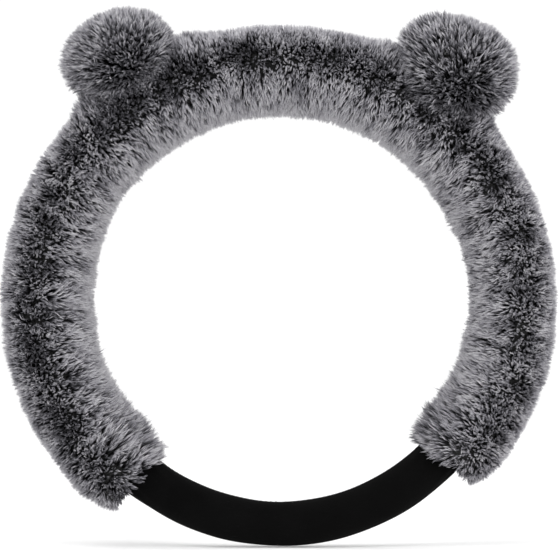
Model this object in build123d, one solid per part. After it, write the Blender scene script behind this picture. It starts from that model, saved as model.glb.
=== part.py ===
from build123d import *
import math
import os

# Plush animal-ears headband: a fur sleeve bent nearly all the way round the head, a stretchy
# band that closes the ring below, and two fur balls for ears. Millimetres and degrees.
#
# The ring stands upright, as it is worn. +Z runs up between the ears, the ring's axis lies
# along Y, and the wearer faces -Y. The origin is the centre of the head opening. A clock
# angle is counted from +Z, to the right as seen from the front. The left side is built like
# the right one and then mirrored.

# Fur sleeve: three layers round one centreline, with elliptical sections (radial, axial)
SLEEVE_RADIUS = 103.4
PILE_SECTION = (20.1, 21.0)
BACKING_SECTION = (10.4, 11.4)
BACKING_WALL = 1.4
PILE_END = {"right": 134.5, "left": 142.0}
PILE_OVERHANG = 2.8
HEM_LENGTH = 1.6
TAB_LENGTH = 7.5
FOAM_SETBACK = 9.0

# Where the sleeve bends when the ring is opened
BEND_ANGLE = 57.0
BEND_HALF_GAP = 0.15

# Closing seam of the sleeve, on the side that meets the head
SEAM_TUNNEL = (3.0, 5.0)
SEAM_STITCH = (0.9, 3.6, 0.8)
SEAM_PITCH = 5.0
SEAM_MARGIN = 2.5

# Stretchy band: a knitted cover over foam, with flat elastic through the middle
BAND_RADIUS = 98.0
BAND_SECTION = (10.0, 9.0)
BAND_COVER_WALL = 1.0
BAND_CLEARANCE = 0.3
BAND_HALF_GAP = 0.15
ELASTIC_SECTION = (2.4, 10.0)
BAND_STITCH = (0.5, 0.6, 2.4)
BAND_STITCH_PITCH = 2.4

# Tack stitches that sew each end of the elastic into the sleeve
TACK_RADIUS = 0.4
TACK_COUNT = 5
TACK_SPACING = 2.0
TACK_SETBACK = 4.5
TACK_REACH = (94.0, 99.6)

# Ears: stuffed fur balls, sewn on with a short thread shank
EAR_ANGLE = {"right": 36.7, "left": 33.6}
EAR_CENTRE_RADIUS = 131.0
EAR_PIVOT_RADIUS = 114.9
EAR_PILE_RADIUS = 26.4
EAR_SKIN_RADIUS = 15.0
EAR_SKIN_WALL = 1.2
EAR_OPENING_RADIUS = 7.0
EAR_DISH_START = -0.7
EAR_DISH_SLOPE = 0.26
EAR_HOLLOW_RADIUS = 30.8
GATHER_RING = (3.6, 0.35)
SHANK_RADIUS = 1.1
SHANK_HEIGHT = 1.2
SHANK_ROUNDING = 0.45
ANCHOR_RADIUS = 5.5
ANCHOR_SPAN = (109.4, 110.4)
ANCHOR_CLEARANCE = 0.2
ANCHOR_THREAD_RADIUS = 0.7

EAR_HEIGHT = EAR_CENTRE_RADIUS - EAR_PIVOT_RADIUS
BACKING_OUTSIDE = SLEEVE_RADIUS + BACKING_SECTION[0]
BACKING_INSIDE = SLEEVE_RADIUS - BACKING_SECTION[0]
BACKING_HOLLOW = tuple(half - BACKING_WALL for half in BACKING_SECTION)


def swept(section, start, end):
    """A section drawn in X (radial) and Y (axial), turned about the ring's axis."""
    return revolve(section, Axis.Y, end - start).rotate(Axis.Y, start - 90)


def bar(ring_radius, section, start, end):
    """A bent bar of elliptical section between two clock angles."""
    return swept(Pos(ring_radius, 0) * Ellipse(*section), start, end)


def strip(ring_radius, section, start, end):
    """A bent bar of rectangular section between two clock angles."""
    return swept(Pos(ring_radius, 0) * Rectangle(*section), start, end)


def grown(section, amount):
    """An elliptical section made larger all round."""
    return tuple(half + amount for half in section)


def at_clock(shape, clock):
    """Turns a shape that stands on +Z so that it points along a clock angle."""
    return shape.rotate(Axis.Y, clock)


def stitch_row(ring_radius, stitch, pitch, start, end):
    """Short straight stitches round the ring; a stitch is (radial, axial, along the ring)."""
    radial, axial, along = stitch
    count = int((end - start) / pitch) + 1
    first = (start + end - (count - 1) * pitch) / 2
    single = Pos(0, 0, ring_radius) * Box(along, axial, radial)
    return Compound(children=[at_clock(single, first + i * pitch) for i in range(count)])


def seam_stitches(start, end):
    radius = BACKING_INSIDE - 0.1 - SEAM_STITCH[0] / 2
    return stitch_row(radius, SEAM_STITCH, SEAM_PITCH, start + SEAM_MARGIN, end - SEAM_MARGIN)


def seam_tunnel(start, end):
    return strip(BACKING_INSIDE - SEAM_TUNNEL[0] / 2 + 0.2, SEAM_TUNNEL, start, end)


def sleeve_backing(start, end):
    skin = bar(SLEEVE_RADIUS, BACKING_SECTION, start, end)
    return skin - bar(SLEEVE_RADIUS, BACKING_HOLLOW, start, end)


def sleeve_pile(start, end, seam_start, seam_end):
    pile = bar(SLEEVE_RADIUS, PILE_SECTION, start, end)
    pile -= bar(SLEEVE_RADIUS, BACKING_SECTION, start, end)
    return pile - seam_tunnel(seam_start, seam_end)


def sleeve_foam(start, end):
    return bar(SLEEVE_RADIUS, BACKING_HOLLOW, start, end)


def anchor_disc(clock):
    """A disc inside the backing with the thread that comes out through it to an ear."""
    low, high = ANCHOR_SPAN
    disc = Pos(0, 0, (low + high) / 2) * Cylinder(ANCHOR_RADIUS, high - low)
    length = BACKING_OUTSIDE - high
    thread = Pos(0, 0, high + length / 2) * Cylinder(ANCHOR_THREAD_RADIUS, length)
    return at_clock(disc + thread, clock)


def anchor_recess(clock):
    """Room in the foam for an anchor disc."""
    floor = ANCHOR_SPAN[0] - ANCHOR_CLEARANCE
    height = BACKING_OUTSIDE - floor
    recess = Pos(0, 0, floor + height / 2) * Cylinder(ANCHOR_RADIUS + ANCHOR_CLEARANCE, height)
    return at_clock(recess, clock)


def ear_hollow(clock):
    """Where the sleeve's pile is pressed aside by an ear, over the ear's whole travel."""
    return at_clock(Pos(0, 0, EAR_CENTRE_RADIUS) * Sphere(EAR_HOLLOW_RADIUS), clock)


def crown_parts():
    """The middle of the sleeve, which carries both ears."""
    start = BEND_HALF_GAP - BEND_ANGLE
    end = BEND_ANGLE - BEND_HALF_GAP
    clocks = {"left": -EAR_ANGLE["left"], "right": EAR_ANGLE["right"]}
    pile = sleeve_pile(start, end, start, end)
    foam = sleeve_foam(start, end)
    parts = {}
    for side, clock in clocks.items():
        pile -= ear_hollow(clock)
        foam -= anchor_recess(clock)
        parts[f"{side}_anchor"] = anchor_disc(clock)
    parts["crown_pile"] = pile
    parts["crown_backing"] = sleeve_backing(start, end)
    parts["crown_foam"] = foam
    parts["crown_seam"] = seam_stitches(start, end)
    return parts


def tack_stitches(clock):
    """A row of stitches through the elastic's tab and the backing beside it."""
    low, high = TACK_REACH
    single = Pos(0, 0, (low + high) / 2) * Cylinder(TACK_RADIUS, high - low)
    offsets = [(i - (TACK_COUNT - 1) / 2) * TACK_SPACING for i in range(TACK_COUNT)]
    return Compound(children=[at_clock(Pos(0, y, 0) * single, clock) for y in offsets])


def arm_parts(pile_end):
    """The rest of the sleeve on the right side, from the bend to its open end."""
    start = BEND_ANGLE + BEND_HALF_GAP
    backing_end = pile_end - PILE_OVERHANG
    hem_start = backing_end - HEM_LENGTH
    pile = sleeve_pile(start, pile_end, start, backing_end)
    pile -= bar(BAND_RADIUS, grown(BAND_SECTION, BAND_CLEARANCE), backing_end, pile_end + 1)
    backing = sleeve_backing(start, backing_end)
    elastic = strip(BAND_RADIUS, ELASTIC_SECTION, hem_start - 1, backing_end + 1)
    return {
        "pile": pile,
        "backing": backing,
        "foam": sleeve_foam(start, backing_end - FOAM_SETBACK),
        "seam": seam_stitches(start, backing_end),
        "end_hem": bar(SLEEVE_RADIUS, BACKING_HOLLOW, hem_start, backing_end) - elastic,
        "tack_stitches": tack_stitches(backing_end - TACK_SETBACK),
    }


def band_parts(pile_end):
    """The right half of the stretchy band, from inside the sleeve's end to the bottom."""
    backing_end = pile_end - PILE_OVERHANG
    end = 180 - BAND_HALF_GAP
    core = grown(BAND_SECTION, -BAND_COVER_WALL)
    cover = bar(BAND_RADIUS, BAND_SECTION, backing_end, end) - bar(BAND_RADIUS, core, backing_end, end)
    elastic = strip(BAND_RADIUS, ELASTIC_SECTION, backing_end - TAB_LENGTH, end)
    seam_radius = BAND_RADIUS - BAND_SECTION[0] - 0.1 - BAND_STITCH[0] / 2
    return {
        "band_cover": cover,
        "band_foam": bar(BAND_RADIUS, core, backing_end, end) - elastic,
        "band_elastic": elastic,
        "band_seam": stitch_row(seam_radius, BAND_STITCH, BAND_STITCH_PITCH, pile_end + 1, end - 1),
    }


def round_solid(outline):
    """A closed outline in X (out from the axis) and Z, turned about Z."""
    return revolve(Plane.XZ * make_face(Polyline(*outline, close=True)), Axis.Z)


def ear_parts():
    """One ear standing on +Z, with its pivot at the origin."""
    ball = Pos(0, 0, EAR_HEIGHT) * Sphere(EAR_PILE_RADIUS)
    skin = Pos(0, 0, EAR_HEIGHT) * Sphere(EAR_SKIN_RADIUS)
    stuffing = Pos(0, 0, EAR_HEIGHT) * Sphere(EAR_SKIN_RADIUS - EAR_SKIN_WALL)
    reach = EAR_PILE_RADIUS * 1.5
    rim = EAR_DISH_START + EAR_DISH_SLOPE * reach
    dish = round_solid([(0, EAR_DISH_START), (reach, rim), (reach, -reach), (0, -reach)])
    opening = Cylinder(EAR_OPENING_RADIUS, EAR_HEIGHT)
    ring, thread = GATHER_RING
    touch = EAR_HEIGHT - math.sqrt(EAR_SKIN_RADIUS**2 - ring**2)
    shank = Cylinder(SHANK_RADIUS, SHANK_HEIGHT)
    return {
        "ear_pile": ball - skin - dish - opening,
        "ear_skin": skin - stuffing,
        "ear_stuffing": stuffing,
        "ear_gather": Pos(0, 0, touch - thread - 0.07) * Torus(ring, thread),
        "ear_shank": fillet(shank.edges().filter_by(GeomType.CIRCLE), SHANK_ROUNDING),
    }


def side_parts(side):
    """Everything that is on one side, built on the right and mirrored for the left."""
    parts = {**arm_parts(PILE_END[side]), **band_parts(PILE_END[side])}
    for name, shape in ear_parts().items():
        parts[name] = at_clock(Pos(0, 0, EAR_PIVOT_RADIUS) * shape, EAR_ANGLE[side])
    if side == "left":
        parts = {name: mirror(shape, about=Plane.YZ) for name, shape in parts.items()}
    return {f"{side}_{name}": shape for name, shape in parts.items()}


def main():
    os.makedirs("parts", exist_ok=True)
    nodes = {**crown_parts(), **side_parts("left"), **side_parts("right")}
    for name, shape in nodes.items():
        export_step(shape, f"parts/{name}.step")


main()
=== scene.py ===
"""Looks of the animal ears headband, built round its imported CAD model.

Everything is in metres in the model's own frame: +Z up between the ears, the ring's axis along
Y, the front towards -Y. A clock angle is counted from +Z, to the right as seen from the front.
A section angle goes round the sleeve's section: 0 faces away from the head, 90 the front, 180
the head and 270 the back.
"""
import math
from types import SimpleNamespace

import bpy
import numpy as np
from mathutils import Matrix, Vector


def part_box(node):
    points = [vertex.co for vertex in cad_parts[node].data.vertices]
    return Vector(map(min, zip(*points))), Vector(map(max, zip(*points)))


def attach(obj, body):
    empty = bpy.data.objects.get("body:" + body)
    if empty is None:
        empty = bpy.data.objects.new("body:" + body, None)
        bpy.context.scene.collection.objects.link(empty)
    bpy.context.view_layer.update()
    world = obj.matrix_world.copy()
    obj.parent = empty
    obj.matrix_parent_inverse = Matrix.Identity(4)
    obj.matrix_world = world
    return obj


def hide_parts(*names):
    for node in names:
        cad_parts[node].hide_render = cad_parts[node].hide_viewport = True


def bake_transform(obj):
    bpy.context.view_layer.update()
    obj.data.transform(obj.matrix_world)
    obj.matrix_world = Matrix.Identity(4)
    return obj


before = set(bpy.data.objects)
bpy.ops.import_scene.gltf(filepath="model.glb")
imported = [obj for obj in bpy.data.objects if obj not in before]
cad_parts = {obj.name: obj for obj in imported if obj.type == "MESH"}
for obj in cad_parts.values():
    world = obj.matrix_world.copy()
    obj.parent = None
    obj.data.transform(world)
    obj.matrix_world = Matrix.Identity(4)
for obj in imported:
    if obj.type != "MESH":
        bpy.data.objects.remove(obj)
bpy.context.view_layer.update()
MM = 0.001
SIDES = {"left": -1, "right": 1}


# ---------------------------------------------------------------- places read from the frame


def vertices(node):
    """A CAD node's points as an array."""
    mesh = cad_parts[node].data
    points = np.zeros(len(mesh.vertices) * 3)
    mesh.vertices.foreach_get("co", points)
    return points.reshape(-1, 3)


def ring_span(node):
    """A bent bar's centreline radius, its half widths (radial, axial), and its clock angles."""
    points = vertices(node)
    radius = np.hypot(points[:, 0], points[:, 2])
    clock = np.degrees(np.arctan2(np.abs(points[:, 0]), points[:, 2]))
    middle = (radius.max() + radius.min()) / 2
    halves = ((radius.max() - radius.min()) / 2, np.abs(points[:, 1]).max())
    return middle, halves, clock.min(), clock.max()


def box_centre(node):
    """The middle of a CAD node's box."""
    low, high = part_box(node)
    return np.array((low + high) / 2)


SLEEVE_RADIUS, _, BEND_CLOCK, _ = ring_span("right_pile")
BACKING_HALVES = ring_span("right_backing")[1]
BAND_RADIUS, BAND_HALVES = ring_span("right_band_cover")[:2]
PILE_END = {side: ring_span(f"{side}_pile")[3] for side in SIDES}
BACKING_END = {side: ring_span(f"{side}_backing")[3] for side in SIDES}
EAR_CENTRE = {side: box_centre(f"{side}_ear_skin") for side in SIDES}
EAR_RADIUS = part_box("left_ear_pile")[1].y
ELASTIC_THICKNESS = 2.4 * MM
ELASTIC_HALVES = (ELASTIC_THICKNESS / 2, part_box("left_band_elastic")[1].y)


# ---------------------------------------------------------------- geometry helpers


def unit(v):
    """Vectors brought to length 1."""
    return v / np.linalg.norm(v, axis=-1, keepdims=True)


def section_frame(clock, section, halves, ring_radius):
    """Points on an elliptical tube round the ring, with the outward normal, the direction of
    growing section angle and the direction of growing clock angle at each. Angles in radians."""
    a, b = halves
    out = np.stack([np.sin(clock), np.zeros_like(clock), np.cos(clock)], -1)
    front = np.array([0.0, -1.0, 0.0])
    cos, sin = np.cos(section)[..., None], np.sin(section)[..., None]
    points = out * (ring_radius + a * cos) + front * b * sin
    normal = unit(out * cos / a + front * sin / b)
    around = unit(-out * a * sin + front * b * cos)
    along = np.stack([np.cos(clock), np.zeros_like(clock), -np.sin(clock)], -1)
    return points, normal, around, along


def waves(points, wavelength, seed, count=14):
    """Smooth noise of about unit size that varies over one wavelength."""
    rng = np.random.default_rng(seed)
    directions = unit(rng.normal(size=(count, 3)))
    lengths = wavelength * rng.uniform(0.7, 1.6, count)
    phases = rng.uniform(0, 2 * math.pi, count)
    angles = points @ (directions * (2 * math.pi / lengths[:, None])).T + phases
    return np.sin(angles).sum(axis=-1) * math.sqrt(2 / count)


def placed(name, data):
    """A new object in the scene that shows some data."""
    obj = bpy.data.objects.new(name, data)
    bpy.context.scene.collection.objects.link(obj)
    return obj


# ---------------------------------------------------------------- node materials


def new_material(name, **values):
    """A Principled material; values set its sockets, with _ for a space."""
    material = bpy.data.materials.new(name)
    material.use_nodes = True
    shader = material.node_tree.nodes["Principled BSDF"]
    for socket, value in values.items():
        shader.inputs[socket.replace("_", " ")].default_value = value
    return material, material.node_tree, shader


def add_node(tree, kind, inputs=(), **settings):
    """A shader node; an input is linked where it is given another node's output."""
    node = tree.nodes.new(kind)
    for name, value in settings.items():
        setattr(node, name, value)
    for name, value in dict(inputs).items():
        if hasattr(value, "is_output"):
            tree.links.new(value, node.inputs[name])
        else:
            node.inputs[name].default_value = value
    return node


def ramp(tree, factor, stops):
    """A colour ramp; stops are (position, (r, g, b)) or (position, grey)."""
    node = tree.nodes.new("ShaderNodeValToRGB")
    elements = node.color_ramp.elements
    while len(elements) < len(stops):
        elements.new(0.5)
    for element, (position, colour) in zip(elements, stops):
        rgb = colour if isinstance(colour, tuple) else (colour,) * 3
        element.position = position
        element.color = (*rgb, 1.0)
    tree.links.new(factor, node.inputs["Fac"])
    return node.outputs["Color"]


def maths(tree, operation, first, second):
    """The output of a Math node on two outputs or numbers."""
    node = tree.nodes.new("ShaderNodeMath")
    node.operation = operation
    for socket, value in zip(node.inputs, (first, second)):
        if hasattr(value, "is_output"):
            tree.links.new(value, socket)
        else:
            socket.default_value = value
    return node.outputs[0]


def multiply(tree, first, second):
    """One colour times another."""
    node = tree.nodes.new("ShaderNodeMix")
    node.data_type = "RGBA"
    node.blend_type = "MULTIPLY"
    node.inputs["Factor"].default_value = 1.0
    tree.links.new(first, node.inputs["A"])
    tree.links.new(second, node.inputs["B"])
    return node.outputs["Result"]


def bump(tree, shader, height, strength, distance):
    """Fine relief on a shader, from a height output."""
    inputs = {"Strength": strength, "Distance": distance, "Height": height}
    node = add_node(tree, "ShaderNodeBump", inputs)
    tree.links.new(node.outputs["Normal"], shader.inputs["Normal"])


FUR_UV = "OFBake"  # a hair's tone runs along u, and its length from root to tip along v


def fur_material():
    """Black roots and silver tips. Every hair has its own tone, and so its own length of black."""
    material, tree, shader = new_material("fur_hair", Roughness=0.6, Specular_IOR_Level=0.3)
    uv = add_node(tree, "ShaderNodeUVMap", uv_map=FUR_UV)
    split = add_node(tree, "ShaderNodeSeparateXYZ", {"Vector": uv.outputs["UV"]})
    tone, length = split.outputs["X"], split.outputs["Y"]
    lighter = maths(tree, "SUBTRACT", tone, 0.5)
    shifted = maths(tree, "ADD", length, maths(tree, "MULTIPLY", lighter, 0.32))
    along = ramp(tree, shifted, [
        (0.0, (0.040, 0.0398, 0.042)),
        (0.58, (0.045, 0.0446, 0.0475)),
        (0.72, (0.14, 0.138, 0.148)),
        (0.85, (0.45, 0.4445, 0.4695)),
        (1.0, (0.62, 0.6135, 0.638)),
    ])
    tint = ramp(tree, tone, [
        (0.0, (0.44, 0.435, 0.465)),
        (0.35, (0.74, 0.735, 0.765)),
        (0.7, (1.0, 0.99, 1.0)),
        (1.0, (1.0, 1.0, 1.0)),
    ])
    tree.links.new(multiply(tree, along, tint), shader.inputs["Base Color"])
    return material


def underfur_material():
    """The dense dark bottom of the pile, between the hairs."""
    material, tree, shader = new_material("fur_underwool", Roughness=0.9, Specular_IOR_Level=0.1)
    place = add_node(tree, "ShaderNodeTexCoord").outputs["Object"]
    noise = add_node(tree, "ShaderNodeTexNoise", {"Vector": place, "Scale": 1400.0, "Detail": 5.0})
    colour = ramp(tree, noise.outputs["Fac"], [(0.3, 0.030), (0.55, 0.046), (0.8, 0.066)])
    tree.links.new(colour, shader.inputs["Base Color"])
    bump(tree, shader, noise.outputs["Fac"], 0.8, 0.0006)
    return material


def velour_material():
    """Short black velour: almost no light back, a faint bloom at grazing angles, fine nap."""
    material, tree, shader = new_material(
        "black_velour", Roughness=0.95, Specular_IOR_Level=0.03, Sheen_Weight=0.012, Sheen_Roughness=0.6)
    place = add_node(tree, "ShaderNodeTexCoord").outputs["Object"]
    broad = add_node(tree, "ShaderNodeTexNoise", {"Vector": place, "Scale": 55.0, "Detail": 3.0})
    nap = add_node(tree, "ShaderNodeTexNoise", {"Vector": place, "Scale": 2600.0, "Detail": 4.0})
    base = ramp(tree, broad.outputs["Fac"], [(0.3, 0.0019), (0.7, 0.0031)])
    speckle = ramp(tree, nap.outputs["Fac"], [(0.35, 0.75), (0.65, 1.0)])
    tree.links.new(multiply(tree, base, speckle), shader.inputs["Base Color"])
    bump(tree, shader, nap.outputs["Fac"], 0.5, 0.0002)
    return material


def thread_material(name, dark, light):
    """Twisted sewing thread."""
    material, tree, shader = new_material(name, Roughness=0.5, Specular_IOR_Level=0.35)
    place = add_node(tree, "ShaderNodeTexCoord").outputs["Object"]
    twist = add_node(tree, "ShaderNodeTexWave", {
        "Vector": place, "Scale": 900.0, "Distortion": 1.5, "Detail": 2.0}, bands_direction="DIAGONAL")
    colour = ramp(tree, twist.outputs["Fac"], [(0.2, dark), (0.8, light)])
    tree.links.new(colour, shader.inputs["Base Color"])
    bump(tree, shader, twist.outputs["Fac"], 0.6, 0.0002)
    return material


def knit_material(name, dark, light):
    """Fine knitted backing cloth."""
    material, tree, shader = new_material(name, Roughness=0.85, Specular_IOR_Level=0.2)
    place = add_node(tree, "ShaderNodeTexCoord").outputs["Object"]
    wales = add_node(tree, "ShaderNodeTexWave", {
        "Vector": place, "Scale": 380.0, "Distortion": 2.0, "Detail": 1.0}, bands_direction="X")
    courses = add_node(tree, "ShaderNodeTexWave", {
        "Vector": place, "Scale": 380.0, "Distortion": 2.0, "Detail": 1.0}, bands_direction="Z")
    loops = maths(tree, "MULTIPLY", wales.outputs["Fac"], courses.outputs["Fac"])
    tree.links.new(ramp(tree, loops, [(0.05, dark), (0.6, light)]), shader.inputs["Base Color"])
    bump(tree, shader, loops, 0.5, 0.0003)
    return material


def foam_material(name, dark, light):
    """Open-celled sponge, or loose fibre filling where the cells are large."""
    material, tree, shader = new_material(name, Roughness=0.9, Specular_IOR_Level=0.15)
    place = add_node(tree, "ShaderNodeTexCoord").outputs["Object"]
    cells = add_node(tree, "ShaderNodeTexVoronoi", {"Vector": place, "Scale": 1300.0})
    colour = ramp(tree, cells.outputs["Distance"], [(0.1, dark), (0.5, light)])
    tree.links.new(colour, shader.inputs["Base Color"])
    bump(tree, shader, cells.outputs["Distance"], 0.6, 0.0004)
    return material


FUR = fur_material()
UNDERFUR = underfur_material()
VELOUR = velour_material()
THREAD = thread_material("black_thread", 0.006, 0.03)
KNIT = knit_material("backing_knit", 0.008, 0.03)
FOAM = foam_material("sponge_foam", 0.35, 0.72)
FILLING = foam_material("fibre_filling", 0.6, 0.85)
FELT = foam_material("anchor_felt", 0.01, 0.04)
ELASTIC = knit_material("braided_elastic", 0.01, 0.05)


# ---------------------------------------------------------------- fur

HAIRS_PER_TUFT = 5
TUFTS_PER_DEGREE = 228
TUFTS_PER_EAR = 6600
ROOT_DEPTH = 1.0 * MM  # how far below its place a hair starts
BEND_AT = 0.78  # where along a hair it turns over, and is thickest
HAIR_RADIUS = 0.15 * MM
RADIUS_SPREAD = 0.25  # the share by which hairs are thicker or thinner than that
SHORTER_BY = 0.28  # how much shorter the shortest hairs of a tuft are
TUFT_ROOT, TUFT_TIP = 0.62 * MM, 0.19 * MM  # a tuft's radius at its roots and at its tips
TUFT_CURL = 0.52 * MM  # how far the tips of a whole tuft stray
CURL_FLATNESS = 0.75  # how much of their straying in or out is taken away
BEND_STRAY, TIP_STRAY = 0.12 * MM, 0.13 * MM  # how far each hair's own bend and tip stray
TONE_SPREAD = 0.11  # between the hairs of one tuft
TONE_RANGE = (0.03, 0.97)
UV_WIDTH = 0.02  # half a hair's width in the UV layer
LOW_LEAN, HIGH_LEAN = 0.85, 1.6  # how far each part of a hair leans, against the whole


def fur_mesh(name, points, triangles, uvs):
    """A piece of fur from arrays; uvs has one row for each point."""
    mesh = bpy.data.meshes.new(name)
    mesh.vertices.add(len(points))
    mesh.vertices.foreach_set("co", np.ascontiguousarray(points, np.float32).ravel())
    mesh.loops.add(triangles.size)
    mesh.loops.foreach_set("vertex_index", np.ascontiguousarray(triangles, np.int32).ravel())
    mesh.polygons.add(len(triangles))
    mesh.polygons.foreach_set("loop_start", np.arange(len(triangles), dtype=np.int32) * 3)
    mesh.update(calc_edges=True)
    mesh.shade_smooth()
    layer = mesh.uv_layers.new(name=FUR_UV)
    layer.data.foreach_set("uv", np.ascontiguousarray(uvs[triangles.ravel()], np.float32).ravel())
    mesh.materials.append(FUR)
    return placed(name, mesh)


def reach(angle):
    """How high a hair of unit length stands when it leans by an angle."""
    return BEND_AT * np.cos(angle * LOW_LEAN) + (1 - BEND_AT) * np.cos(angle * HIGH_LEAN)


def hairs(roots, normal, lean, length, angle, tone, curl, rng):
    """Tapered three-sided hairs in tufts. lean is the direction each tuft leans in and angle how
    far it leans, in radians; curl is how far its tip strays. Returns points, triangles and uvs."""
    tufts = len(roots)
    count = tufts * HAIRS_PER_TUFT
    owner = np.repeat(np.arange(tufts), HAIRS_PER_TUFT)
    side = unit(np.cross(normal, lean))
    spin = rng.uniform(0, 2 * math.pi, count)
    offset = np.sqrt(rng.uniform(0, 1, count))
    spread = lean[owner] * np.cos(spin)[:, None] + side[owner] * np.sin(spin)[:, None]
    spread = spread * offset[:, None]
    size = (length[owner] * (1 - SHORTER_BY * rng.uniform(0, 1, count) ** 2))[:, None]
    low_angle, high_angle = angle[owner][:, None] * LOW_LEAN, angle[owner][:, None] * HIGH_LEAN
    low = normal[owner] * np.cos(low_angle) + lean[owner] * np.sin(low_angle)
    high = normal[owner] * np.cos(high_angle) + lean[owner] * np.sin(high_angle)
    base = roots[owner] + spread * TUFT_ROOT
    turn = base + low * size * BEND_AT + spread * (TUFT_TIP - TUFT_ROOT) * BEND_AT
    turn += rng.normal(0, BEND_STRAY, (count, 3))
    tip = turn + high * size * (1 - BEND_AT) + spread * (TUFT_TIP - TUFT_ROOT) * (1 - BEND_AT)
    stray = rng.normal(0, 1, (tufts, 3)) * curl[:, None]
    stray -= normal * (stray * normal).sum(axis=-1, keepdims=True) * CURL_FLATNESS
    tip += stray[owner] + rng.normal(0, TIP_STRAY, (count, 3))

    across = unit(np.cross(low, rng.normal(size=(count, 3))))
    over = np.cross(low, across)
    thick = HAIR_RADIUS * rng.uniform(1 - RADIUS_SPREAD, 1 + RADIUS_SPREAD, (count, 1))
    points = np.zeros((count, 5, 3))
    points[:, 0] = base - low * ROOT_DEPTH
    for corner in range(3):
        turned = 2 * math.pi * corner / 3
        points[:, 1 + corner] = turn + (across * math.cos(turned) + over * math.sin(turned)) * thick
    points[:, 4] = tip

    tone = np.clip(tone[owner] + rng.uniform(-TONE_SPREAD, TONE_SPREAD, count), *TONE_RANGE)
    uvs = np.zeros((count, 5, 2))
    uvs[..., 0] = tone[:, None] + np.array([0.0, -UV_WIDTH, 0.0, UV_WIDTH, 0.0])
    uvs[..., 1] = np.array([0.0, BEND_AT, BEND_AT, BEND_AT, 1.0])

    one = np.array([(0, 2, 1), (0, 3, 2), (0, 1, 3), (1, 2, 4), (2, 3, 4), (3, 1, 4)])
    triangles = one[None] + (np.arange(count) * 5)[:, None, None]
    return points.reshape(-1, 3), triangles.reshape(-1, 3), uvs.reshape(-1, 2)


# Fullness is the share by which the pile is longer than usual.
PILE_DEPTH = 9.9 * MM
CREST = 66.0  # section angle of the band of painted shade that runs round the front of the sleeve
RIM = 168.0  # section angle of the band of painted light on the head side
BEHIND = 298.0  # section angle of the faint dark band on the back
SEAM = 150.0  # section angle of the closing seam, where the hairs part and a line of painted shade lies in places
DENSER_BY = 0.13  # how much closer the tufts stand at the crest than on average
OUTER_FULLNESS = {"left": 0.13, "right": -0.03}  # down each arm, on the outer side
TOP_FULLNESS = 0.055  # at the very top, on the outer side
THIN_CLOCK = {"left": 57.0, "right": 82.0}  # where the pile is thinnest on the head side
HEM_FULLNESS = {"left": 0.12, "right": 0.06}  # extra length at the end, on the head side
HEM_REACH = 9 * MM  # how far from the end the pile turns over the hem
END_LOBE = {"left": 0.0, "right": 0.28}  # a rounder bulge just before the end, on the head side, which also deepens the painted shade there
ARM_SOFTNESS = {"left": 0.0, "right": 0.55}  # how much the crest's painted shade and the rim's painted light fade down the arm
PRESSED_BY = {"left": 0.08, "right": 0.30}  # how much the pile is pressed down beside each ear
BARE_UNDER_EAR = 0.66  # in ear radii: nearer than this to an ear's centre, no tufts grow
PUSHED_BY_EAR = 0.85  # in ear radii: the sleeve's hairs stay out of a ball of this size
EAR_CLOCK = {side: math.degrees(math.atan2(abs(c[0]), c[2])) for side, c in EAR_CENTRE.items()}


def fullness(side, clock, section):
    """How much longer than usual the pile is: bunched up where an ear is sewn down beside it, and
    on the head side thin along the arm and thick towards the end."""
    outer, inner = np.clip(np.cos(section), 0, 1), np.clip(-np.cos(section), 0, 1)
    down_arm = np.clip((clock - 4) / 26, 0, 1)
    outer_side = TOP_FULLNESS + (OUTER_FULLNESS[side] - TOP_FULLNESS) * down_arm
    outer_side -= 0.12 * np.clip((clock - 106) / 14, 0, 1)
    from_ear = clock - EAR_CLOCK[side]
    foot = np.exp(-((from_ear + 12.5) / 5.5) ** 2) + np.exp(-((from_ear - 11) / 3) ** 2)
    thin = np.exp(-((clock - THIN_CLOCK[side]) / 14) ** 2)
    thick = np.clip((clock - 104) / 28, 0, 1) ** 1.5
    lobe = END_LOBE[side] * np.exp(-((clock - 129.5) / 4) ** 2)
    return 1 + outer * (outer_side + 0.42 * foot) + inner * (0.36 * thick + lobe - 0.16 * thin)


def pushed_out(points, centre, radius):
    """Points inside a ball moved out to its surface."""
    away = points - centre
    distance = np.linalg.norm(away, axis=-1, keepdims=True)
    return np.where(distance < radius, centre + away / distance * radius, points)


def band_at(section, middle, width):
    """1 along a line that runs round the ring at one section angle, in degrees, fading to 0."""
    return np.exp(-(np.sin((section - np.radians(middle)) / 2) / width) ** 2)


def sleeve_place(side, clock, section):
    """Where each tuft stands, as shares between 0 and 1."""
    from_top = np.degrees(np.abs(clock))
    at_top = np.exp(-(from_top / 32) ** 2)
    strength = 1 - ARM_SOFTNESS[side] * np.clip((from_top - 28) / 30, 0, 1)
    to_end = (np.radians(BACKING_END[side]) - np.abs(clock)) * SLEEVE_RADIUS
    return SimpleNamespace(
        section=section,
        from_top=from_top,
        at_top=at_top,
        near_end=np.clip((from_top - 112) / 18, 0, 1),
        near_hem=np.clip(1 - to_end / HEM_REACH, 0, 1),
        inner=np.clip(-np.cos(section), 0, 1),
        loose=(0.55 + 0.45 * np.cos(section - math.radians(40))) * (1 - 0.3 * at_top),
        crest=band_at(section, CREST - 7 * at_top, 0.25 - 0.05 * at_top) * strength,
        rim_light=band_at(section, RIM, 0.30) * strength,
        behind=band_at(section, BEHIND, 0.27),
    )


def sleeve_drift(roots, place, rng):
    """How far each tuft leans along the sleeve, against how far it leans round it."""
    drift = (waves(roots, 16 * MM, 11) * 0.20 + waves(roots, 6 * MM, 12) * 0.20) * place.loose
    drift += waves(roots, 3 * MM, 21, 24) * 0.12 * (1 - 0.6 * place.at_top)
    drift += rng.normal(0, 0.14, len(roots)) * (1 + 0.6 * place.crest)
    drift += waves(roots, 8 * MM, 19) * 0.32 * place.near_end
    return drift


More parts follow.
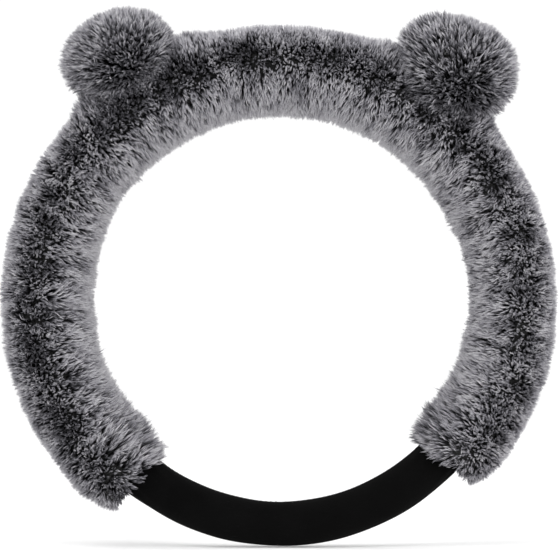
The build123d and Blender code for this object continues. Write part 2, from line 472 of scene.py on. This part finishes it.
def sleeve_angle(roots, place, rng):
    """How far each tuft leans, in radians: most on the head side, and less at the hem."""
    angle = 20 + 15 * np.cos(place.section - math.radians(SEAM))
    angle += waves(roots, 15 * MM, 13) * 6 * place.loose
    angle += rng.normal(0, 4.5, len(roots)) * (1 + 0.2 * place.crest)
    return np.radians(angle) * (1 - 0.4 * place.near_hem)


def sleeve_length(side, roots, place, angle, to_ears, rng):
    """How long each tuft is: shorter at the hem, and pressed down in front of and behind the ears."""
    shorter = (0.28 - HEM_FULLNESS[side] * place.inner) * place.near_hem
    length = PILE_DEPTH / reach(angle) * (1 - shorter) * fullness(side, place.from_top, place.section)
    uneven = waves(roots, 11 * MM, 14) * 0.03 * place.loose
    length = length * (1 + uneven + rng.normal(0, 0.018, len(roots)))
    for ear, to_ear in to_ears.items():
        pressed = np.clip((1.12 - to_ear) / 0.2, 0, 1) * np.sin(place.section) ** 2
        length = length * (1 - PRESSED_BY[ear] * pressed)
    return length


def sleeve_tone(side, roots, place, to_ears, rng):
    """How light each tuft is: painted shade along the crest, at the ears' feet, along the seam's parting
    and inside the ends, painted light along the rim, a faint dark band behind, and clumpy all over."""
    # Painted shade: a dark line where the hairs part along the seam, in places.
    seam = np.exp(-((np.degrees(place.section) - SEAM) / 2.4) ** 2)
    seam = seam * np.clip(waves(roots, 22 * MM, 17), 0, 1)
    # Painted shade along the crest of the sleeve.
    crest_shade = (0.31 - 0.17 * waves(roots, 15 * MM, 16)) * place.crest
    # Painted light along the rim, less the painted shade of the crest and of the seam's parting.
    tone = 0.54 + 0.30 * place.rim_light - crest_shade - 0.3 * seam
    # Painted shade round the foot of each ear.
    for to_ear in to_ears.values():
        tone -= 0.30 * np.exp(-((to_ear - 1.02) / 0.16) ** 2)
    # Painted shade inside the ends on the head side, deeper before the end's bulge.
    end_shade = 0.26 + 0.5 * END_LOBE[side] * (1 - place.near_hem)
    tone -= end_shade * place.near_end * place.inner
    tone -= (0.17 - 0.15 * waves(roots, 17 * MM, 18)) * place.behind
    tone += waves(roots, 7 * MM, 15) * 0.09
    tone += waves(roots, 3 * MM, 20, 24) * 0.11 * (1 - 0.4 * place.at_top)
    uneven = rng.uniform(-0.18, 0.18, len(roots))
    tone += uneven * (1 + 0.6 * place.crest) * (1 - 0.3 * place.at_top)
    return tone


def sleeve_fur(name, side, start, end, seed):
    """Fur on one stretch of the sleeve; clock angles in degrees, counted out from the top."""
    rng = np.random.default_rng(seed)
    count = int((end - start) * TUFTS_PER_DEGREE)
    clock = np.radians(rng.uniform(start, end, count)) * SIDES[side]
    section = rng.uniform(0, 2 * math.pi, count)
    section = section - DENSER_BY * np.sin(section - math.radians(CREST))
    roots, normal, around, along = section_frame(clock, section, BACKING_HALVES, SLEEVE_RADIUS)
    along = along * SIDES[side]
    place = sleeve_place(side, clock, section)
    turn = (np.radians(47 + 11 * np.cos(section)) * place.near_hem)[:, None]
    normal = normal * np.cos(turn) + along * np.sin(turn)
    upper = roots + normal * PILE_DEPTH * 0.8
    to_ears = {
        ear: np.linalg.norm(upper - EAR_CENTRE[ear], axis=-1) / EAR_RADIUS for ear in SIDES
    }

    lean = unit(around + along * sleeve_drift(roots, place, rng)[:, None])
    angle = sleeve_angle(roots, place, rng)
    length = sleeve_length(side, roots, place, angle, to_ears, rng)
    tone = sleeve_tone(side, roots, place, to_ears, rng)
    curl = TUFT_CURL * (0.4 + 0.6 * place.loose)

    keep = np.ones(count, bool)
    for centre in EAR_CENTRE.values():
        clear = EAR_RADIUS * BARE_UNDER_EAR
        keep &= np.linalg.norm(roots + normal * 4 * MM - centre, axis=-1) > clear
    rows = [values[keep] for values in (roots, normal, lean, length, angle, tone, curl)]
    points, triangles, uvs = hairs(*rows, rng)
    for centre in EAR_CENTRE.values():
        points = pushed_out(points, centre, EAR_RADIUS * PUSHED_BY_EAR)
    return fur_mesh(name, points, triangles, uvs)


# An ear's directions are unit vectors from its centre, and its sizes are in ear radii.
EAR_HAIR = 13.4 * MM
EAR_PARTING = {"left": np.array([6.7, 0.0, -4.9]) * MM, "right": np.array([1.8, 0.0, -8.5]) * MM}
EAR_SIZE = {"left": 1.03, "right": 1.095}
EAR_SEAT = {"left": np.array([0.15, 0.0, -0.99]), "right": np.array([-0.75, 0.0, -0.66])}
EAR_FLAT = {"left": np.array([-0.42, 0.0, 0.91]), "right": np.array([0.26, 0.0, 0.97])}
SEAT_FLATNESS, TOP_FLATNESS = 0.19, 0.21  # how much smaller the ear is towards each of those
EAR_BULGE = {"left": np.array([1.0, 0.0, 0.0]), "right": np.array([-0.93, 0.0, 0.36])}
EAR_BULGE_BY = {"left": 0.03, "right": 0.11}
EAR_OVERHANG = {"left": 0.05, "right": 0.20}  # bulge over the sleeve, in front and behind
EAR_SHADE = {"left": (0.17, -0.32), "right": (0.06, -0.45)}  # middle of the patch of painted shade in front
SHADE_SIZE = 0.55


def ear_fur(name, side, seed):
    """Fur of one ear: the tips lie on a ball, flatter on top and against the sleeve and fuller on
    the side where the ear bulges, and the hairs lean away from a parting in front."""
    rng = np.random.default_rng(seed)
    outward = unit(rng.normal(size=(TUFTS_PER_EAR, 3)))
    to_seat = np.clip(outward @ EAR_SEAT[side], 0, 1)
    to_bulge = np.clip(outward @ EAR_BULGE[side], 0, 1)
    to_flat = np.clip(outward @ EAR_FLAT[side], 0, 1)
    radius = EAR_SIZE[side] - SEAT_FLATNESS * to_seat ** 1.5 - TOP_FLATNESS * to_flat ** 2
    radius = radius + EAR_BULGE_BY[side] * to_bulge ** 2
    both_ways = np.column_stack([outward[:, 0], np.abs(outward[:, 1]), outward[:, 2]])
    brim = unit(EAR_SEAT[side] * 0.8 + np.array([0.0, 0.6, 0.0]))
    to_brim = np.clip(both_ways @ brim, 0, 1)
    radius = EAR_RADIUS * (radius + EAR_OVERHANG[side] * to_brim ** 6)
    radius = radius + waves(outward * EAR_RADIUS, 9 * MM, seed + 2) * 0.4 * MM
    tips = EAR_CENTRE[side] + outward * radius[:, None]
    wander = waves(tips, 9 * MM, seed + 1)[:, None] * 0.06
    axis = unit(outward - EAR_PARTING[side] / EAR_RADIUS + wander)
    lean = unit(np.cross(axis, rng.normal(size=axis.shape)))
    angle = np.abs(rng.normal(0, 0.20, TUFTS_PER_EAR)) + 0.02
    length = EAR_HAIR * (1 + rng.normal(0, 0.018, TUFTS_PER_EAR))
    from_shade = np.linalg.norm(outward[:, [0, 2]] - EAR_SHADE[side], axis=-1)
    ear_rim_light = (1 - np.abs(outward[:, 1])) ** 2
    # Painted light round the ear's rim, and a patch of painted shade in front.
    tone = 0.35 + 0.18 * ear_rim_light - 0.44 * np.exp(-(from_shade / SHADE_SIZE) ** 2)
    tone += waves(tips, 7 * MM, seed + 3) * 0.11
    tone += rng.uniform(-0.40, 0.40, TUFTS_PER_EAR)
    curl = np.full(TUFTS_PER_EAR, TUFT_CURL)
    roots = tips - axis * EAR_HAIR
    points, triangles, uvs = hairs(roots, axis, lean, length, angle, tone, curl, rng)
    return fur_mesh(name, points, triangles, uvs)


# ---------------------------------------------------------------- skins and tubes


def closed_mesh(name, rings, material):
    """A smooth closed mesh through rings of points, with a flat fan over each end."""
    count, around = rings.shape[:2]
    points = np.vstack([rings.reshape(-1, 3), rings[0].mean(axis=0), rings[-1].mean(axis=0)])
    index = np.arange(count * around).reshape(count, around)
    following = np.roll(index, -1, axis=1)
    walls = np.stack([index[:-1], following[:-1], following[1:], index[1:]], -1).reshape(-1, 4)
    head, tail = count * around, count * around + 1
    fans = [(head, b, a) for a, b in zip(index[0], following[0])]
    fans += [(tail, a, b) for a, b in zip(index[-1], following[-1])]
    mesh = bpy.data.meshes.new(name)
    mesh.from_pydata(points.tolist(), [], walls.tolist() + [tuple(map(int, fan)) for fan in fans])
    mesh.validate()
    mesh.shade_smooth()
    mesh.set_sharp_from_angle(angle=math.radians(60))
    mesh.materials.append(material)
    return placed(name, mesh)


def tube(name, side, span, halves, ring_radius, material, rings, around=56, relief=None):
    """A bent tube over a span of clock angles, in degrees counted out from the top. relief gives
    how far each point stands out, from its place, clock angle and section angle."""
    clock = np.radians(np.linspace(*span, rings)) * SIDES[side]
    section = np.linspace(0, 2 * math.pi, around, endpoint=False) * SIDES[side]
    clocks, sections = np.meshgrid(clock, section, indexing="ij")
    points, normal, _, _ = section_frame(clocks, sections, halves, ring_radius)
    if relief:
        points = points + normal * relief(points, np.degrees(np.abs(clocks)), sections)[..., None]
    return closed_mesh(name, points, material)


def grown(halves, amount):
    """The half widths of a section that is larger all round."""
    return tuple(half + amount for half in halves)


BEND_REACH = 14.0  # degrees on each side of a bend that the bend's own stretch of fur spans


def across_bend(piece):
    """Bakes a piece's place into its mesh."""
    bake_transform(piece)


UNDERFUR_DEPTH = 3.0 * MM
EAR_DISH = 2.5 * MM  # how far the underfur is pressed down under an ear, so that it has room to tilt
DISH_RADIUS = 11 * MM


def lumpy(points, clock, section):
    """The uneven surface of a stuffed sleeve, pressed down where the ears sit."""
    relief = waves(points, 14 * MM, 5) * 0.45 * MM + waves(points, 5 * MM, 6) * 0.2 * MM
    for centre in EAR_CENTRE.values():
        foot = unit(centre) * (SLEEVE_RADIUS + BACKING_HALVES[0])
        pressed = np.exp(-(np.linalg.norm(points - foot, axis=-1) / DISH_RADIUS) ** 4)
        relief = relief * (1 - pressed) - EAR_DISH * pressed
    return relief


def add_sleeve(side):
    """The underfur, whole on each side, and the fur in stretches."""
    skin = tube(
        f"{side}_underfur", side, (0, BACKING_END[side] + 0.4),
        grown(BACKING_HALVES, UNDERFUR_DEPTH), SLEEVE_RADIUS, UNDERFUR, rings=170, relief=lumpy)
    across_bend(skin)
    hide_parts(f"{side}_backing", "crown_backing")

    upper, lower = BEND_CLOCK - BEND_REACH, BEND_CLOCK + BEND_REACH
    last = BACKING_END[side]
    cuts = [0.0, upper * 0.62, upper, lower, lower * 2 / 3 + last / 3, lower / 3 + last * 2 / 3, last]
    names = ["top", "ear", "bend", "upper", "lower", "end"]
    for number, (name, start, end) in enumerate(zip(names, cuts, cuts[1:])):
        piece = sleeve_fur(f"{side}_fur_{name}", side, start, end, 100 + number + 50 * SIDES[side])
        if name == "bend":
            across_bend(piece)
        else:
            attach(piece, "crown" if end <= upper else f"{side}_arm")
        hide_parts("crown_pile" if start < BEND_CLOCK else f"{side}_pile")


EAR_CORE = 15.2 * MM  # radius of the dark ball under an ear's fur
EAR_PLEATS = 14


def ear_core(name, side):
    """The dark ball under an ear's fur, drawn in where the ear is gathered onto the sleeve."""
    seat = unit(-EAR_CENTRE[side])
    shift = EAR_PARTING[side] * 0.5
    centre = EAR_CENTRE[side] + shift - seat * (shift @ seat)
    turns = np.linspace(0.04, math.pi - 0.04, 40)
    spins = np.linspace(0, 2 * math.pi, 56, endpoint=False)
    turn, spin = np.meshgrid(turns, spins, indexing="ij")
    across = np.array([0.0, -1.0, 0.0])
    third = np.cross(seat, across)
    out = seat * np.cos(turn)[..., None] + (
        across * np.cos(spin)[..., None] + third * np.sin(spin)[..., None]) * np.sin(turn)[..., None]
    gather = (2.6 + 0.6 * np.cos(spin * EAR_PLEATS)) * MM * np.exp(-(turn / 0.62) ** 2)
    radius = EAR_CORE + waves(out * EAR_CORE, 9 * MM, 21) * 0.35 * MM - gather
    return closed_mesh(name, centre + out * radius[..., None], UNDERFUR)


def add_ear(side):
    """An ear's fur, and the dark core under it."""
    fur = ear_fur(f"{side}_ear_fur", side, 300 + 10 * SIDES[side])
    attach(fur, f"{side}_ear")
    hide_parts(f"{side}_ear_pile")
    core = ear_core(f"{side}_ear_core", side)
    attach(core, f"{side}_ear")
    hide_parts(f"{side}_ear_skin")


BAND_TUCK = 1.5  # degrees of band inside the end of the sleeve
STITCH_PITCH = 1.45  # degrees
STITCH_LENGTH, STITCH_RADIUS = 1.7 * MM, 0.24 * MM


def velour_relief(side):
    """Slight unevenness, a sewn valley on the head side, and puckers where the sleeve grips."""
    def relief(points, clock, section):
        from_seam = (np.degrees(np.abs(section)) - 180) / 7
        valley = np.exp(-from_seam ** 2) * 0.55 * MM
        dimples = 1 + 0.35 * np.cos(np.radians(clock * 360 / STITCH_PITCH))
        grip = np.exp(-np.clip(clock - PILE_END[side], 0, None) / 4) * 0.28 * MM
        return (waves(points, 26 * MM, 31) * 0.10 * MM + np.cos(section * 11 + clock * 0.4) * grip
                - valley * dimples)
    return relief


def stitch_row(name, side, clocks, ring_radius, material):
    """Short rounded stitches along the head side of a tube, each sunk at both ends."""
    steps, around = 7, 8
    along = np.linspace(-1, 1, steps)
    spin = np.linspace(0, 2 * math.pi, around, endpoint=False)
    mesh = bpy.data.meshes.new(name)
    points, faces = [], []
    for clock in np.radians(clocks) * SIDES[side]:
        out = np.array([math.sin(clock), 0.0, math.cos(clock)])
        tangent = np.array([math.cos(clock), 0.0, -math.sin(clock)])
        rings = [
            out * (ring_radius + t * t * 0.35 * MM) + tangent * t * STITCH_LENGTH / 2
            + (out * np.cos(spin)[:, None] + np.array([0.0, 1.0, 0.0]) * np.sin(spin)[:, None])
            * STITCH_RADIUS * math.sqrt(1.02 - t * t)
            for t in along
        ]
        first = len(points)
        points += [tuple(p) for ring in rings for p in ring]
        for row in range(steps - 1):
            for i in range(around):
                a, b = first + row * around + i, first + row * around + (i + 1) % around
                wall = (a, b, b + around, a + around)
                faces.append(wall if SIDES[side] < 0 else (b, a, a + around, b + around))
        ends = [tuple(range(first, first + around)), tuple(range(len(points) - around, len(points)))]
        faces += [ends[0][::-1], ends[1]] if SIDES[side] < 0 else [ends[0], ends[1][::-1]]
    mesh.from_pydata(points, [], faces)
    mesh.shade_smooth()
    mesh.materials.append(material)
    return placed(name, mesh)


def add_band(side):
    """Half of the stretchy band: its velour, filling, webbing and stitches."""
    inside = PILE_END[side] - BAND_TUCK
    clocks = np.arange(PILE_END[side] - 1, 179.5, STITCH_PITCH)
    pieces = {
        ("velour", "band_cover"): tube(
            f"{side}_band_velour", side, (BACKING_END[side], 180), BAND_HALVES, BAND_RADIUS, VELOUR,
            rings=200, around=96, relief=velour_relief(side)),
        ("foam", "band_foam"): tube(
            f"{side}_band_filling", side, (inside, 180), grown(BAND_HALVES, -1.2 * MM), BAND_RADIUS,
            FOAM, rings=60),
        ("elastic", "band_elastic"): tube(
            f"{side}_band_webbing", side, (BACKING_END[side], 180), ELASTIC_HALVES, BAND_RADIUS,
            ELASTIC, rings=60),
        ("thread", "band_seam"): stitch_row(
            f"{side}_band_stitches", side, clocks, BAND_RADIUS - BAND_HALVES[0] + 0.42 * MM, THREAD),
    }
    for (slot, node), piece in pieces.items():
        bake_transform(piece)
        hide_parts(f"{side}_{node}")


for chosen in SIDES:
    add_sleeve(chosen)
    add_ear(chosen)
    add_band(chosen)


# ---------------------------------------------------------------- CAD nodes that stay

FINISH = {
    "foam": FOAM, "seam": THREAD, "tack_stitches": THREAD, "ear_gather": THREAD, "ear_shank": THREAD,
    "anchor": FELT, "end_hem": KNIT, "ear_skin": KNIT, "ear_stuffing": FILLING, "band_elastic": ELASTIC,
    "backing": KNIT, "pile": KNIT, "band_cover": VELOUR,
}
for node_name, node_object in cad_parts.items():
    ending = max((e for e in FINISH if node_name.endswith(e)), key=len)
    node_object.data.materials.clear()
    node_object.data.materials.append(FINISH[ending])


# ---------------------------------------------------------------- stage, lights and camera


def add_floor(height, size=8.0):
    """A plain pale floor that runs out of sight on every side."""
    corners = [(x * size, y * size, height) for x, y in ((-1, -1), (1, -1), (1, 1), (-1, 1))]
    mesh = bpy.data.meshes.new("floor")
    mesh.from_pydata(corners, [], [(0, 1, 2, 3)])
    material, tree, shader = new_material("floor_paper", Roughness=0.9, Specular_IOR_Level=0.1)
    place = add_node(tree, "ShaderNodeTexCoord").outputs["Object"]
    grain = add_node(tree, "ShaderNodeTexNoise", {"Vector": place, "Scale": 300.0})
    colour = ramp(tree, grain.outputs["Fac"], [(0.3, 0.955), (0.7, 0.975)])
    tree.links.new(colour, shader.inputs["Base Color"])
    mesh.materials.append(material)
    placed("floor", mesh)


def area_light(name, position, target, size, power):
    """A round soft light that faces a target; sizes in metres and power in watts."""
    light = bpy.data.lights.new(name, "AREA")
    light.shape = "DISK"
    light.size = size
    light.energy = power
    obj = placed(name, light)
    obj.location = position
    direction = np.array(target) - np.array(position)
    obj.rotation_mode = "QUATERNION"
    obj.rotation_quaternion = Vector(direction).to_track_quat("-Z", "Y")


def add_camera():
    """A long lens straight in front, so that the ring is seen almost without perspective."""
    distance, view_width = 2.6, 248.9 * MM
    view_middle = (-0.2 * MM, 10.2 * MM)  # across and up
    data = bpy.data.cameras.new("camera")
    data.sensor_width = 36.0
    data.lens = data.sensor_width * distance / view_width
    data.clip_start, data.clip_end = 0.1, 50
    obj = placed("camera", data)
    obj.location = (view_middle[0], -distance, view_middle[1])
    obj.rotation_euler = (math.pi / 2, 0, 0)
    bpy.context.scene.camera = obj


def add_world():
    """Plain white light from all round."""
    world = bpy.data.worlds.new("studio")
    world.use_nodes = True
    background = world.node_tree.nodes["Background"]
    background.inputs["Color"].default_value = (1, 1, 1, 1)
    background.inputs["Strength"].default_value = 1.08
    bpy.context.scene.world = world


add_floor(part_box("left_band_cover")[0].z - 0.5 * MM)
add_camera()
add_world()
area_light("key", (-0.5, -1.6, 1.5), (0, 0, 0), 1.6, 19)
area_light("fill", (1.1, -1.4, 0.5), (0, 0, 0), 1.4, 7)
bpy.context.scene.view_settings.view_transform = "Standard"
